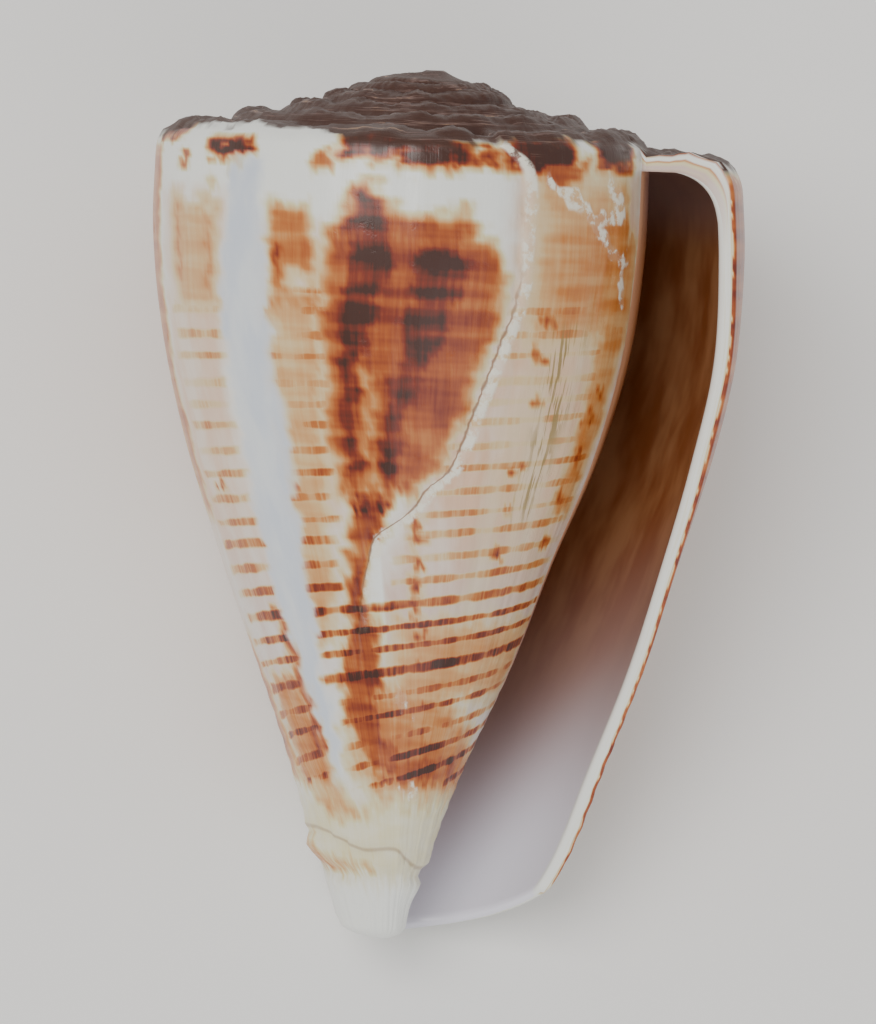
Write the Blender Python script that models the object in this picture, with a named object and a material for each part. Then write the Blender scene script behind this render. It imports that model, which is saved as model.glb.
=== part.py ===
"""A cone shell, lying on its back with the mouth up, as one closed solid.

The shell grows along a spiral. Its outside is one ribbon, the sloping top of each whorl, wound out from
the apex, and over the last turn that ribbon runs on down the tall side to the narrow front end. The mouth
is a slot between the lip and the whorl before it, and runs on inside the last turn as a curved hollow.

Lengths are in millimetres in the shell's own frame: stations run down the axis from the apex, and growth
is counted in turns back from the lip. The finished mesh is in metres, +Z up, resting on z = 0.
"""

import math

import bmesh
import bpy
from mathutils import Matrix, Vector

MM = 0.001

# Outlines of the last turn: radius at each station, on the lip, half a turn back and a whole turn back
STATIONS = (5.0, 10.0, 16.0, 22.0, 28.0, 34.0, 40.0, 45.0, 48.0, 51.0)
AT_LIP = (18.75, 19.2, 19.1, 17.85, 16.2, 14.4, 12.2, 10.45, 8.8, 6.5)
HALF_BACK = (15.65, 15.6, 14.75, 13.1, 11.0, 8.6, 6.2, 4.25, 3.15, 2.1)
TURN_BACK = (13.3, 13.25, 12.6, 11.05, 8.75, 6.65, 4.15, 2.3, 1.3, 0.9)
HALF_TURN = 0.5

# Top: low spire of stepped whorls with rounded shoulders
WHORLS = 7
SPIRE_SLOPE = 0.205
APEX_RISE = 0.35
APEX_REACH = 1.5
SHOULDER_ROUNDING = 0.13
RAMP_SLOPE = 0.13
RAMP_HOLLOW = 0.04
SUTURE_AT = 0.7

# Lip and front end: the lip leans forward along its length, and its front corner is rounded off
LIP_ANGLE = math.radians(-19)
LIP_LEAN = math.radians(22)
LEAN_START = 6.0
LEAN_BOW = 2.4
FRONT_END = 49.35
LIP_RETREAT = 2.15
RETREAT_BOW = 4
RIM_LEVELS_AT = 0.22
CANAL_REACH = 0.85
TIP_HEIGHT = 0.85

# Hollow
CEILING = 1.3
WALL_AT_SHOULDER = 1.2
WALL_AT_FRONT = 0.8
WALL_THINS = 0.5
HOLLOW_TURNS = 1.0
FLOOR_CLOSES_AT = 0.5
FLOOR_RISE = 19.0
FLOOR_ROUNDING = 8.0

# Fineness
STEPS_PER_TURN = 64
RAMP_ROWS = 2
SHOULDER_ROWS = 2
CEILING_ROWS = 2
SIDE_ROWS = 17
TIP_RINGS = 3
HOLLOW_STEP = 2

# Pose at rest: turned about its axis and tipped to lie still, then about Z so that the mouth runs along Y.
# A shallow worn spot on the back keeps the round shell from rolling.
WORN_FLAT = 0.22
ROLL = math.radians(-7.9)
PITCH = math.radians(16.1)
YAW = math.radians(15)

SHELL_COLOUR = (0.83, 0.62, 0.43, 1.0)


def eased(share):
    """0 to 1, level at both ends."""
    share = min(max(share, 0.0), 1.0)
    return share * share * (3 - 2 * share)


def mix(first, second, share):
    return first + (second - first) * share


def through(stations, values, station):
    """A smooth curve through the values, flat beyond both ends."""
    if station <= stations[0]:
        return values[0]
    if station >= stations[-1]:
        return values[-1]
    i = max(j for j, start in enumerate(stations[:-1]) if start <= station)
    slopes = []
    for j in (i, i + 1):
        low, high = max(j - 1, 0), min(j + 1, len(stations) - 1)
        slopes.append((values[high] - values[low]) / (stations[high] - stations[low]))
    span = stations[i + 1] - stations[i]
    x = (station - stations[i]) / span
    bow = x * (1 - x) * span * (slopes[0] * (1 - x) - slopes[1] * x)
    return mix(values[i], values[i + 1], eased(x)) + bow


def radius(back, station):
    """Outer radius at a station, this many turns back from the lip."""
    outlines = (AT_LIP, HALF_BACK, TURN_BACK)
    lip, half, turn = (math.log(through(STATIONS, o, station)) for o in outlines)
    x = back / HALF_TURN
    if x > 2:
        return math.exp(turn + (x - 2) * (0.5 * lip - 2 * half + 1.5 * turn))
    return math.exp(lip * (x - 1) * (x - 2) / 2 - half * x * (x - 2) + turn * x * (x - 1) / 2)


def corner(back):
    """Radius and station of the shoulder's edge before rounding. The spire starts from nothing."""
    r = radius(back, STATIONS[0]) * eased(WHORLS - back)
    return r, SPIRE_SLOPE * r + APEX_RISE * (1 - math.exp(-r / APEX_REACH))


def on_shoulder(back, share, inset=0.0, drop=0.0):
    """Point on the rounded shoulder, 0 where the top ends and 1 where the side starts."""
    r, station = corner(back)
    d = SHOULDER_ROUNDING * r
    r, station = r - inset, station + drop
    start = Vector((r - d, station - RAMP_SLOPE * d))
    end = Vector((side_radius(back, station + d, False) - inset, station + d))
    edge = Vector((r, station))
    return start.lerp(edge, share).lerp(edge.lerp(end, share), share)


def suture(back):
    """Where the next whorl joins this one."""
    return on_shoulder(back, SUTURE_AT) if back < WHORLS else Vector((0, 0))


def side_radius(back, station, rounded=True):
    """Outer radius below the suture, with the last of the shoulder's rounding."""
    r, top = corner(back)
    d = SHOULDER_ROUNDING * r
    if rounded and station < top + d:
        x = (station - top) / d
        a, b = 1 - RAMP_SLOPE, 2 * RAMP_SLOPE
        share = (math.sqrt(b * b + 4 * a * (RAMP_SLOPE + x)) - b) / (2 * a)
        return on_shoulder(back, share).x
    return radius(back, station)


def rim_station(back):
    """Station of the front edge: rounded off at the lip, and furthest out behind the columella."""
    retreat = LIP_RETREAT * max(1 - back / RIM_LEVELS_AT, 0.0) ** RETREAT_BOW
    reach = CANAL_REACH * math.sin(math.tau * back) ** 2 if back < FLOOR_CLOSES_AT else 0.0
    return FRONT_END + reach - retreat


def wall(back, station):
    """Thickness of the outer wall, which thins inwards along the hollow."""
    return mix(WALL_AT_SHOULDER, WALL_AT_FRONT, station / FRONT_END) * (1 - WALL_THINS * back)


def floor_station(back):
    """Station where the hollow narrows to nothing. Past the front edge, the hollow is open there."""
    return FRONT_END + FLOOR_RISE * (FLOOR_CLOSES_AT - back)


def bottom(back):
    return min(rim_station(back), floor_station(back))


def hollow_sides(back, station):
    """Radii of the hollow's outer and inner side, drawn together towards its floor."""
    outer = radius(back, station) - wall(back, station)
    inner = side_radius(back + 1, station)
    x = min(max((floor_station(back) - station) / FLOOR_ROUNDING, 0.0), 1.0)
    pull = (1 - math.sqrt(x * (2 - x))) / 2
    return mix(outer, inner, pull), mix(inner, outer, pull)


def outer_section(back):
    """Section of the outside, from the suture out over the top and down: the top's part, then the side's."""
    inside = suture(back + 1)
    edge = on_shoulder(back, 0)
    top = []
    for i in range(RAMP_ROWS):
        share = i / RAMP_ROWS
        point = inside.lerp(edge, share)
        point.y += RAMP_HOLLOW * (edge.x - inside.x) * 4 * share * (1 - share)
        top.append(point)
    top += [on_shoulder(back, SUTURE_AT * i / SHOULDER_ROWS) for i in range(SHOULDER_ROWS + 1)]
    start = top[-1].y
    stations = [start + CEILING * i / CEILING_ROWS for i in range(1, CEILING_ROWS)]
    stations += side_stations(back)
    return top, [Vector((side_radius(back, s), s)) for s in stations]


def side_stations(back):
    """Stations of the side's rows below the ceiling."""
    start = suture(back).y + CEILING
    return [mix(start, rim_station(back), i / SIDE_ROWS) for i in range(SIDE_ROWS + 1)]


def hollow_section(back):
    """Section of the hollow: its ceiling and outer side going down, and its inner side going down."""
    start = suture(back + 1).y + CEILING
    inside = Vector((side_radius(back + 1, start), start))
    inset = wall(back, start)
    edge = on_shoulder(back, 0, inset, CEILING)
    points = [inside.lerp(edge, i / RAMP_ROWS) for i in range(RAMP_ROWS)]
    turns = SHOULDER_ROWS + CEILING_ROWS
    points += [on_shoulder(back, i / turns, inset, CEILING) for i in range(turns)]
    end = bottom(back)
    start_side = on_shoulder(back, 1, inset, CEILING).y
    for i in range(SIDE_ROWS + 1):
        station = mix(start_side, end, i / SIDE_ROWS)
        points.append(Vector((hollow_sides(back, station)[0], station)))
    core = []
    for i in range(1, SIDE_ROWS + 1):
        station = mix(start, end if end < rim_station(back) else rim_station(back + 1), i / SIDE_ROWS)
        core.append(Vector((hollow_sides(back, station)[1], station)))
    return points, core


def placed(back, point):
    """Point of a section, turned to its place in the shell's frame, in metres: +Z to the apex, mouth to -Y."""
    reach = (point.y - LEAN_START) / (FRONT_END - LEAN_START)
    angle = LIP_ANGLE + math.tau * back + LIP_LEAN * max(reach, 0.0) ** LEAN_BOW
    return Vector((point.x * math.cos(angle), point.x * math.sin(angle), -point.y)) * MM


class Surface:
    """Vertices and faces of the shell, gathered in a bmesh."""

    def __init__(self):
        self.bm = bmesh.new()

    def row(self, back, points):
        return [self.bm.verts.new(placed(back, p)) for p in points]

    def face(self, verts):
        corners = [v for i, v in enumerate(verts) if v is not verts[i - 1]]
        if len(set(corners)) > 2:
            self.bm.faces.new(corners)

    def strip(self, first, second):
        for i in range(len(first) - 1):
            self.face([first[i], first[i + 1], second[i + 1], second[i]])


def build_mesh():
    """The closed surface: spire and side, hollow, lip, front edge and tip."""
    shell = Surface()
    steps = STEPS_PER_TURN
    apex = shell.bm.verts.new(placed(0, Vector((0, 0))))
    top_rows, side_rows = {}, {}
    for step in range(WHORLS * steps, -1, -1):
        back = step / steps
        top, side = outer_section(back)
        if step == WHORLS * steps:
            top_rows[step] = [apex] * len(top)
            continue
        inner = top_rows[step + steps][-1] if step + steps <= WHORLS * steps else apex
        top_rows[step] = [inner] + shell.row(back, top[1:])
        shell.strip(top_rows[step + 1], top_rows[step])
        if step <= steps:
            side_rows[step] = [top_rows[step][-1]] + shell.row(back, side)
            if step < steps:
                shell.strip(side_rows[step + 1], side_rows[step])

    # Hollow: outer wall and core, the same vertices where its floor has closed
    last = round(HOLLOW_TURNS * steps)
    closes = round(FLOOR_CLOSES_AT * steps)
    roofs, cores = {}, {}
    for step in range(0, last + 1, HOLLOW_STEP):
        back = step / steps
        points, core = hollow_section(back)
        if step == 0:
            cores[0] = side_rows[steps][CEILING_ROWS:]
            roofs[0] = [cores[0][0]] + shell.row(back, points[1:])
            continue
        roofs[step] = shell.row(back, points)
        cores[step] = [roofs[step][0]] + shell.row(back, core[:-1])
        floor = roofs[step][-1] if step >= closes else shell.row(back, core[-1:])[0]
        cores[step].append(floor)
        shell.strip(roofs[step - HOLLOW_STEP], roofs[step])
        shell.strip(cores[step], cores[step - HOLLOW_STEP])
    shell.face(roofs[last] + cores[last][-2:0:-1])

    # Lip: the face between the outer and the inner section at the mouth
    outside = top_rows[0] + side_rows[0][1:]
    inside = roofs[0]
    shell.face([outside[0], outside[1], inside[1]] + side_rows[steps][CEILING_ROWS::-1][:-1])
    shell.strip(outside[1:], inside[1:])

    # Front edge of the wall, from the lip back to where the hollow's floor closes
    for step in range(0, closes, HOLLOW_STEP):
        ahead = step + HOLLOW_STEP
        edge = [side_rows[i][-1] for i in range(step, ahead + 1)]
        shell.face(edge + [roofs[ahead][-1], roofs[step][-1]])

    # Tip: rings drawn in from the columella's edge
    ring = [side_rows[step][-1] for step in range(steps, closes - 1, -1)]
    ring += [cores[step][-1] for step in range(closes, 0, -HOLLOW_STEP)]
    centre = sum((v.co for v in ring), Vector()) / len(ring)
    rim = [v.co.copy() for v in ring]
    for i in range(1, TIP_RINGS):
        turn = math.pi / 2 * i / TIP_RINGS
        drop = Vector((0, 0, -TIP_HEIGHT * MM * math.sin(turn)))
        inner = [shell.bm.verts.new(centre.lerp(co, math.cos(turn)) + drop) for co in rim]
        shell.strip(ring + ring[:1], inner + inner[:1])
        ring = inner
    middle = shell.bm.verts.new(centre + Vector((0, 0, -TIP_HEIGHT * MM)))
    for i, vert in enumerate(ring):
        shell.face([vert, ring[(i + 1) % len(ring)], middle])
    return shell.bm


def rest_pose():
    """Turns the shell's frame so that it lies on its back: apex towards +Y, mouth to +Z."""
    on_back = Matrix.Rotation(math.radians(-90), 4, "X")
    tipped = Matrix.Rotation(PITCH, 4, "X") @ Matrix.Rotation(ROLL, 4, "Y")
    return Matrix.Rotation(YAW, 4, "Z") @ tipped @ on_back


def wear_flat(bm):
    """Rubs off the lowest part of the back, leaving the small flat that the shell lies on."""
    floor = min(v.co.z for v in bm.verts) + WORN_FLAT * MM
    whole = bm.verts[:] + bm.edges[:] + bm.faces[:]
    plane = {"plane_co": (0, 0, floor), "plane_no": (0, 0, 1)}
    bmesh.ops.bisect_plane(bm, geom=whole, clear_inner=True, **plane)
    bmesh.ops.holes_fill(bm, edges=[e for e in bm.edges if e.is_boundary])


def shell_material():
    material = bpy.data.materials.new("glossy_shell")
    material.use_nodes = True
    shader = material.node_tree.nodes["Principled BSDF"]
    shader.inputs["Base Color"].default_value = SHELL_COLOUR
    shader.inputs["Roughness"].default_value = 0.3
    shader.inputs["Metallic"].default_value = 0.0
    return material


def main():
    for obj in list(bpy.data.objects):
        bpy.data.objects.remove(obj, do_unlink=True)
    bm = build_mesh()
    bmesh.ops.recalc_face_normals(bm, faces=bm.faces)
    bmesh.ops.transform(bm, matrix=rest_pose(), verts=bm.verts)
    wear_flat(bm)
    low = Vector(min(v.co[i] for v in bm.verts) for i in range(3))
    high = Vector(max(v.co[i] for v in bm.verts) for i in range(3))
    shift = Vector((-(low.x + high.x) / 2, -(low.y + high.y) / 2, -low.z))
    bmesh.ops.translate(bm, vec=shift, verts=bm.verts)
    mesh = bpy.data.meshes.new("cone_shell")
    bm.to_mesh(mesh)
    bm.free()
    mesh.shade_smooth()
    mesh.set_sharp_from_angle(angle=math.radians(40))
    mesh.materials.append(shell_material())
    collection = bpy.data.collections.new("cone shell")
    bpy.context.scene.collection.children.link(collection)
    collection.objects.link(bpy.data.objects.new("cone_shell", mesh))


main()
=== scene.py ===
"""A cone shell lying on its back on a pale floor, with the worn and spotted surface of a beach find.

The shell is grown again at a fine scale from the same outlines as the solid in the frame: a spire ribbon,
the tall side, the hollow, the lip, the front edge and the rounded tip. Lengths in the shell's own frame
are in millimetres: stations run down the axis from the apex, and growth is counted in turns back from
the lip. The map "growth" holds a point's turn and run, and the painted layers hold its colouring.
"""

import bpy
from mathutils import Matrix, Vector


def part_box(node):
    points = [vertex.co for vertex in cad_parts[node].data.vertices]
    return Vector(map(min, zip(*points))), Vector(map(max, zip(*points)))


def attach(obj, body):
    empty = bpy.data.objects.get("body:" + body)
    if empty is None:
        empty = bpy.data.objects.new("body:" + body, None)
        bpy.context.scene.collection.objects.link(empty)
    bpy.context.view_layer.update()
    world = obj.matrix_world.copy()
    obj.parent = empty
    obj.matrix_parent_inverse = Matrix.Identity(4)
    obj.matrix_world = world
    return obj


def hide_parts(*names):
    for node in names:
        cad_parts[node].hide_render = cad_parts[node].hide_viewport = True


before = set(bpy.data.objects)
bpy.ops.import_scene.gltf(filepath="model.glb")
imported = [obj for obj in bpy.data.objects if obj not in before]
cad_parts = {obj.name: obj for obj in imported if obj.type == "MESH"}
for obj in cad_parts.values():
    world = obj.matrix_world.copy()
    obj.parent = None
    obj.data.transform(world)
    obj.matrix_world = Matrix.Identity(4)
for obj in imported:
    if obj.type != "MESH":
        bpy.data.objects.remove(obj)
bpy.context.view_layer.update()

import math

import bmesh
import bpy
from bpy.props import FloatProperty, FloatVectorProperty, PointerProperty
from mathutils import Color, Matrix, Vector, noise

bl_info = {
    "name": "Cone Shell",
    "version": (1, 0, 0),
    "blender": (4, 5, 0),
    "location": "View3D > Sidebar > Cone Shell",
    "description": "Grows a weathered cone shell around its packed solid and sets it on a pale floor",
    "category": "Object",
}

MM = 0.001

# Outlines of the last turn: radius at each station, on the lip, half a turn back and a whole turn back
STATIONS = (5, 10, 16, 22, 28, 34, 40, 45, 48, 51)
AT_LIP = (18.75, 19.2, 19.1, 17.85, 16.2, 14.4, 12.2, 10.45, 8.8, 6.5)
HALF_BACK = (15.65, 15.6, 14.75, 13.1, 11, 8.6, 6.2, 4.25, 3.15, 2.1)
TURN_BACK = (13.3, 13.25, 12.6, 11.05, 8.75, 6.65, 4.15, 2.3, 1.3, 0.9)
HALF_TURN = 0.5

# Top: low spire of stepped whorls with rounded shoulders
WHORLS = 7
SPIRE_SLOPE = 0.205
APEX_RISE = 0.35
APEX_REACH = 1.5
SHOULDER_ROUNDING = 0.13
RAMP_SLOPE = 0.13
RAMP_HOLLOW = 0.04
SUTURE_AT = 0.7

# Lip and front end
LIP_ANGLE = math.radians(-19)
LIP_LEAN = math.radians(22)
LEAN_START = 6.0
LEAN_BOW = 2.4
FRONT_END = 49.35
LIP_RETREAT = 2.15
RETREAT_BOW = 4
RIM_LEVELS_AT = 0.22
CANAL_REACH = 0.85
TIP_HEIGHT = 0.85

# Hollow
CEILING = 1.3
LIP_RADIUS = 17
WALL_AT_SHOULDER = 1.2
WALL_AT_FRONT = 0.8
WALL_THINS = 0.5
FLOOR_CLOSES_AT = 0.5
FLOOR_RISE = 19.0
FLOOR_ROUNDING = 8.0

# Pose at rest
ROLL = math.radians(-7.9)
PITCH = math.radians(16.1)
YAW = math.radians(15)

# Fineness: columns in the hidden half and the shown half of a turn, and rows of each part of the section
BACK_COLUMNS = 80
BACK_CROWDING = 1.6
FACE_COLUMNS = 180
DEEP_COLUMNS = 40
RAMP_ROWS = 8
SHOULDER_ROWS = 5
UPPER_ROWS = 6
LOWER_ROWS = 110
TIP_ROWS = 10
CROWN_ROWS = RAMP_ROWS + SHOULDER_ROWS
TURN_COLUMNS = BACK_COLUMNS + FACE_COLUMNS
HOLLOW_COLUMNS = BACK_COLUMNS + DEEP_COLUMNS
COARSE = 64
WELD = 2e-7

# The grid's points crowd together at the apex, so those within this distance become one
POLE = 4e-5

# How much turn the map gives the lip's edge from its outer to its inner side
LIP_SPAN = 0.02

# Camera of the photograph, in the shell's own frame: looking along +Y, a little down from the apex's side
VIEW_DIP = math.radians(3)
VIEW_ROLL = math.atan(0.047)
VIEW_DISTANCE = 450.0
VIEW_AIM = (0.69, -25.46)
SENSOR = 36.0
LENS = 274.6

# Floor and lights
PAPER_ROUGHNESS = 0.9
LIGHT_DISTANCE = 0.5
KEY_SIZE = 0.5
FILL_SIZE = 0.6
KEY_COLOUR = (1, 0.98, 0.95)
FILL_COLOUR = (0.95, 0.97, 1)

# Repaired break in the side: turn at each run, and how it stands out
BREAK_RUNS = (4, 5, 6.6, 9.9, 11.2, 13.3, 15, 18.5, 22.5, 23.7, 24.6, 25.4, 26.5, 27.6, 30.2, 36)
BREAK_TURNS = (0.853, 0.869, 0.875, 0.874, 0.875, 0.871, 0.864, 0.85, 0.831, 0.812, 0.804, 0.791, 0.767,
               0.76, 0.746, 0.727)
BREAK_SPAN = (0.68, 0.93)
BREAK_END = 38
BREAK_FADE = 9
BREAK_SLOPES = (1.8, 0.7)

# Painted layers of the outside. The last two are signed distances, from the break and the wavy edge
LAYERS = ("pigment", "rows", "ray", "flush", "grime", "spire", "scar", "from_break", "from_collar")

# Wear of the spire: lengths in millimetres
FLAKE_STEPS = 4
FLAKE_SIZE = 0.42
WEAR_BELOW = 0.9
WEAR_FADE = 1.2
APEX_FULLNESS = 0.5
APEX_FULL_AT = 3.4

# Wavy edge above the front collar, whose start, fade and knob are in turns
COLLAR_TURNS = (0.5, 0.581, 0.65, 0.686, 0.773, 0.811, 0.862, 1)
COLLAR_RUNS = (43.9, 43.9, 44.6, 44.9, 44.8, 45.4, 45.9, 46)
COLLAR_END = 46.4
COLLAR_BULGE = 0.25
COLLAR_GROOVE = 0.3
COLLAR_START = 0.45
COLLAR_FADE = 0.06
COLLAR_TOP = 40
COLLAR_SLOPE = 1.4
BULGE_BELOW = 1.1
BULGE_WIDTH = 0.8
KNOB = 1.6
KNOB_TURN = 0.53
KNOB_WIDTH = 0.05
GROOVE_WIDTH = 0.28

# Low waves in each turn, and where the cords start
WAVES = 45
RIPPLES = 130
CORDS_START = 30
CORDS_FADE = 10

# Spiral rows of dashes: they rise with each turn back
ROW_RISE = 0.24
ROW_TURN = 0.62
ROW_RUN = 29.3
ROW_GAP = 1.33

# How far the dark of the spire comes down over the shoulder at each turn
REACH_TURNS = (0, 0.5, 0.56, 0.6, 0.63, 0.71, 0.74, 0.775, 0.815, 0.85, 0.88, 0.92, 0.96, 1)
SPIRE_REACHES = (0.7, 0.8, 1.1, 0.9, -0.2, -0.5, 0.3, 1.4, 1.5, 0.7, 1.3, 0.5, 1.2, 0.7)

# White rays: runs, and the turns of both edges there
RAY_START = 5.2
RAY_END = 42
RAY_FADE = 3
RAY_EDGE = 0.35
RAYS = (
    ((7.8, 13.5, 19, 23.6, 28.2, 32.8, 36, 39),
     (0.673, 0.664, 0.665, 0.658, 0.65, 0.648, 0.65, 0.655),
     (0.7, 0.702, 0.705, 0.701, 0.695, 0.683, 0.677, 0.68)),
    ((7.8, 23.6, 39), (0.355, 0.35, 0.34), (0.38, 0.385, 0.365)),
)

# Ragged edges and thin lines of the paint, in millimetres
RAGGED_TURN = 0.6
RAGGED_RUN = 0.7
MARK_REACH = 3.0
SCAR_AT = 0.35
SCAR_WIDTH = 0.32
SCAR_END = 34
CHIP_WIDTH = 0.3
CHIP_REACH = 4

# Painted areas of each layer: amount and softness of the edge, then runs with the turns of both edges.
# The layer "bare" takes pigment away.
AREAS = {"flush": [
    (0.8, 1, (7.5, 24, 41), (0.6, 0.575, 0.545), (0.67, 0.655, 0.65)),
    (0.7, 1, (9, 24, 33), (0.7, 0.695, 0.675), (0.75, 0.75, 0.72)),
    (1, 1.2, (5.5, 16, 26, 34), (0.87, 0.86, 0.79, 0.74), (1, 1, 1, 1)),
    (0.7, 1.2, (33, 41.5), (0.68, 0.7), (1.05, 1.1)),
], "pigment": [
    (0.3, 0.7, (8, 14), (0.61, 0.612), (0.66, 0.662)),
    (0.46, 0.5, (8.4, 13), (0.617, 0.618), (0.626, 0.627)),
    (0.4, 0.5, (8.4, 13.5), (0.648, 0.648), (0.658, 0.658)),
    (0.5, 0.6, (8, 13.6), (0.706, 0.704), (0.73, 0.738)),
    (0.74, 0.5, (9.6, 12.5), (0.707, 0.705), (0.716, 0.715)),
    (0.4, 0.3, (13, 24), (0.701, 0.696), (0.706, 0.701)),
    (0.4, 0.3, (13, 24), (0.731, 0.724), (0.735, 0.728)),
    (0.3, 0.8, (13, 24, 33), (0.704, 0.698, 0.684), (0.738, 0.732, 0.712)),
    (0.64, 0.9, (8.2, 10, 12.7, 18.4, 21.9, 24),
     (0.757, 0.742, 0.741, 0.738, 0.74, 0.744),
     (0.832, 0.854, 0.863, 0.843, 0.823, 0.797)),
    (0.9, 0.8, (6.7, 8.5, 11, 14, 18, 23.7),
     (0.763, 0.757, 0.753, 0.75, 0.746, 0.745),
     (0.774, 0.788, 0.79, 0.779, 0.769, 0.764)),
    (0.86, 0.9, (9.2, 11, 14, 17.5, 20, 23.3),
     (0.803, 0.798, 0.792, 0.783, 0.777, 0.771),
     (0.828, 0.842, 0.833, 0.81, 0.804, 0.796)),
    (0.96, 0.7, (18.5, 23.7), (0.779, 0.772), (0.803, 0.797)),
    (0.7, 0.5, (24, 26, 28, 31, 33, 36, 37.8, 40.4),
     (0.752, 0.748, 0.74, 0.73, 0.719, 0.7, 0.705, 0.735),
     (0.785, 0.772, 0.757, 0.754, 0.762, 0.757, 0.76, 0.79)),
    (0.46, 1.7, (35, 38.5, 41.8), (0.74, 0.7, 0.73), (0.82, 0.95, 1.08)),
    (0.6, 0.9, (39, 41.2), (0.72, 0.76), (0.9, 0.98)),
    (0.36, 0.4, (25.4, 32), (0.799, 0.803), (0.806, 0.811)),
    (0.34, 1.3, (31, 36), (0.775, 0.78), (1, 1)),
    (0.66, 0.5, (31.5, 36, 39.4), (0.637, 0.634, 0.628), (0.646, 0.653, 0.65)),
    (0.46, 0.8, (35, 41.4), (0.585, 0.56), (0.635, 0.655)),
    (0.42, 2, (6, 15), (0.89, 0.885), (1, 1)),
    (0.4, 0.9, (11.5, 25), (0.955, 0.945), (0.992, 0.985)),
    (0.1, 1, (13, 34), (0.89, 0.83), (0.97, 0.97)),
    (0.66, 0.4, (5.5, 16, 27, 47), (-0.02, -0.02, -0.02, -0.02), (0.05, 0.05, 0.045, 0.04)),
    (0.5, 0.6, (5, 26), (0.55, 0.55), (0.588, 0.575)),
    (0.1, 1, (42, 46.8), (0.48, 0.48), (1.1, 1.1)),
    (0.46, 0.5, (44.6, 46.2), (0.49, 0.49), (0.56, 0.56)),
    (0.28, 0.4, (45.5, 46.3), (0.5, 0.5), (0.7, 0.7)),
    (0.36, 1, (41, 43), (0.58, 0.6), (0.66, 0.7)),
], "rows": [
    (0.95, 0.5, (14, 24, 33, 41), (0.605, 0.59, 0.57, 0.555), (0.664, 0.652, 0.65, 0.643)),
    (0.95, 0.5, (12.5, 24, 33), (0.7, 0.695, 0.68), (0.742, 0.738, 0.72)),
    (0.8, 0.8, (12, 24.5, 31), (0.88, 0.81, 0.755), (0.99, 0.99, 0.99)),
    (1, 0.6, (30, 41), (0.68, 0.7), (1.05, 1.1)),
    (0.5, 0.6, (9, 24), (0.74, 0.74), (0.85, 0.81)),
    (0.85, 0.8, (8, 40.5), (0, 0), (0.33, 0.33)),
    (0.85, 0.8, (8, 41), (0.39, 0.39), (0.53, 0.53)),
], "grime": [
    (0.9, 0.8, (14.3, 25), (0.905, 0.9), (0.934, 0.922)),
], "bare": [
    (0.85, 0.5, (4.6, 9), (0.978, 0.98), (1.02, 1.02)),
    (0.45, 0.5, (17, 23.6), (0.768, 0.764), (0.777, 0.77)),
    (0.95, 0.5, (11.8, 13), (0.717, 0.717), (0.731, 0.731)),
]}

# Small spots of pigment: turn and run
SPOTS = (
    (0.805, 25.5), (0.804, 26.7), (0.805, 28.2), (0.806, 29.5), (0.807, 30.8), (0.809, 32),
    (0.811, 33.6), (0.812, 35.9), (0.817, 38.4), (0.896, 13.9), (0.895, 15.9), (0.898, 18.6),
    (0.89, 22.5), (0.886, 24.7), (0.889, 27.4), (0.973, 13.2), (0.969, 17.9), (0.964, 19.4),
    (0.961, 21.6), (0.956, 23.8), (0.955, 26.5), (0.613, 24.4), (0.705, 23.5),
)

# Patches of pigment: turn and half its width, run and half its length, amount, softness of the edge
PATCHES = [
    (0.769, 0.006, 7.1, 0.4, 0.8, 0.5), (0.766, 0.016, 24.7, 0.35, 1, 0.35),
    (0.672, 0.02, 4.9, 0.45, 1, 0.4), (0.679, 0.006, 5.8, 0.3, 0.6, 0.3),
    (0.624, 0.006, 5.7, 0.2, 0.6, 0.3), (0.656, 0.006, 6.9, 0.2, 0.25, 0.3),
    (0.742, 0.007, 5.4, 0.45, 0.5, 0.3), (0.785, 0.034, 4, 1, 1, 0.6),
    (0.81, 0.024, 4.6, 0.8, 0.95, 0.6), (0.843, 0.014, 4.7, 0.5, 0.85, 0.5),
    (0.885, 0.026, 4.4, 1.1, 1, 0.7), (0.905, 0.02, 5.4, 0.8, 0.6, 0.6),
    (0.956, 0.024, 4.2, 1.1, 0.95, 0.6), (0.6, 0.02, 3.6, 0.8, 0.8, 0.5),
]
PATCHES += [(turn, 0.009, run, 0.2, 0.82, 0.32) for turn, run in SPOTS]

# Pale cracks near the shoulder: turn and run of their points. Their pale glossy look is partly the chipped
# shell and partly painted highlight on the cracks
CHIPS_AND_HIGHLIGHTS = (
    ((0.893, 6), (0.931, 7.8), (0.936, 8.3), (0.958, 9.9), (0.981, 10.4)),
    ((0.949, 6), (0.967, 7.6), (0.936, 8.3)),
    ((0.972, 11.1), (0.979, 12.9)),
    ((0.787, 35.6), (0.792, 36.4)),
    ((0.8, 41.2), (0.806, 41.6)),
)

# Turns of the marks on the hidden side
HIDDEN_COLUMNS = (0.1, 0.17, 0.25, 0.32, 0.44, 0.53)


def eased(share):
    """0 to 1, level at both ends."""
    share = min(max(share, 0.0), 1.0)
    return share * share * (3 - 2 * share)


def mix(first, second, share):
    return first + (second - first) * share


def through(stations, values, station):
    """A smooth curve through the values, flat beyond both ends."""
    if station <= stations[0]:
        return values[0]
    if station >= stations[-1]:
        return values[-1]
    i = max(j for j, start in enumerate(stations[:-1]) if start <= station)
    slopes = []
    for j in (i, i + 1):
        low, high = max(j - 1, 0), min(j + 1, len(stations) - 1)
        slopes.append((values[high] - values[low]) / (stations[high] - stations[low]))
    span = stations[i + 1] - stations[i]
    x = (station - stations[i]) / span
    bow = x * (1 - x) * span * (slopes[0] * (1 - x) - slopes[1] * x)
    return mix(values[i], values[i + 1], eased(x)) + bow


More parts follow.
